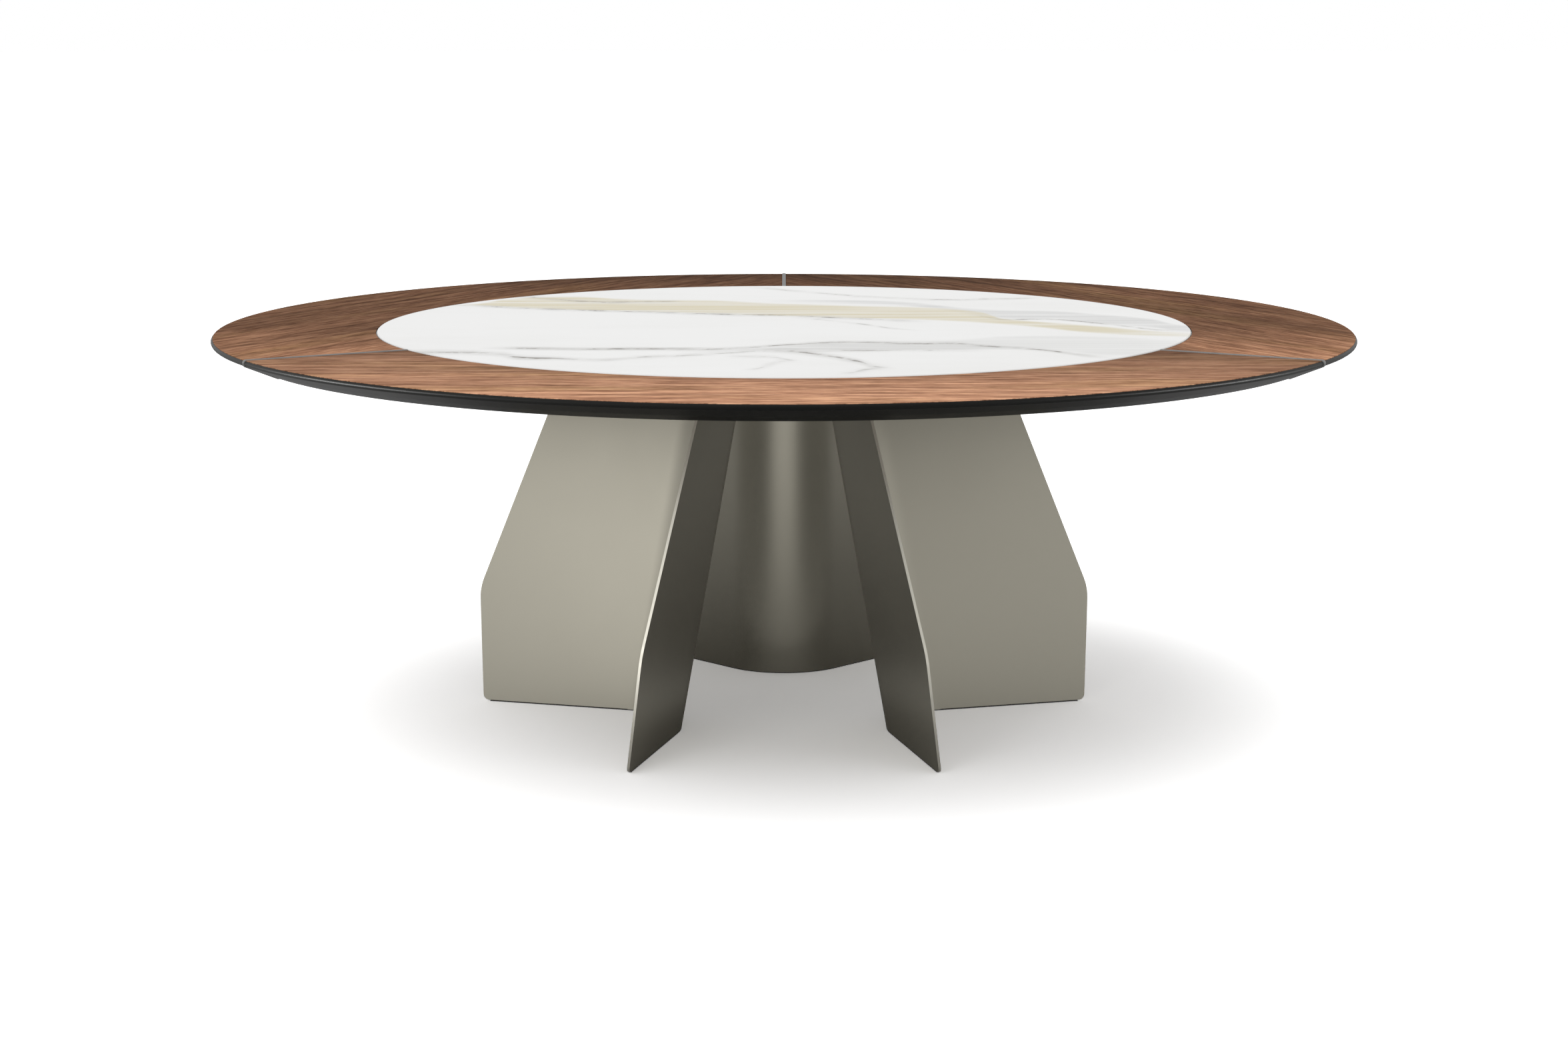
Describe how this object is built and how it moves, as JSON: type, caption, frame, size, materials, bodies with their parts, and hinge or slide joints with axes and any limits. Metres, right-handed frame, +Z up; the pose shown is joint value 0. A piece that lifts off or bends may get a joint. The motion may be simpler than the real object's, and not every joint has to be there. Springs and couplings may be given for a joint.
{
  "type": "round dining table",
  "caption": "Round dining table with a flush marble-look disc in a walnut ring, a black bevelled rim, metal divider strips and a base of bent, leaning metal sheets.",
  "frame": {"origin": "on the floor under the middle of the round top", "axes": "+Z up, +X to the viewer's right and +Y away from the viewer, towards the rear sheet"},
  "size_m": [2.1998, 2.2013, 0.76],
  "materials": {
    "ceramic": "polished, white with soft beige and grey veins",
    "walnut": "straight-grained walnut veneer, satin lacquer",
    "rim_black": "near-black satin lacquer",
    "core": "dark stained plywood",
    "glass": "clear",
    "strip_steel": "satin grey",
    "base_metal": "satin titanium-coloured lacquer",
    "frame_black": "black powder coat",
    "zinc": "zinc plated",
    "seal": "matt grey",
    "pad": "clear, soft",
    "glide": "matt black"
  },
  "bodies": {
    "root": {"ceramic_disc": "ceramic", "glass_backing": "glass", "disc_edge_seal": "seal", "core_panel": "core", "alignment_dowels": "core", "hub_plate": "frame_black", "support_bar_front": "frame_black", "support_bar_rear_left": "frame_black", "support_bar_rear_right": "frame_black", "support_bar_joint_rear": "frame_black", "support_bar_joint_front_left": "frame_black", "support_bar_joint_front_right": "frame_black", "ring_board_front": "rim_black", "ring_board_rear_left": "rim_black", "ring_board_rear_right": "rim_black", "veneer_front": "walnut", "veneer_rear_left": "walnut", "veneer_rear_right": "walnut", "divider_strip_rear": "strip_steel", "divider_strip_front_left": "strip_steel", "divider_strip_front_right": "strip_steel", "blade_rear": "base_metal", "blade_front_left": "base_metal", "blade_front_right": "base_metal", "blade_flange_rear": "base_metal", "blade_flange_front_left": "base_metal", "blade_flange_front_right": "base_metal", "blade_bolts": "zinc", "blade_washers": "zinc", "hub_screws": "zinc", "threaded_inserts": "zinc", "bar_screws": "zinc", "ring_screws": "zinc", "cushion_pads": "pad", "floor_glides": "glide"}
  },
  "joints": []
}
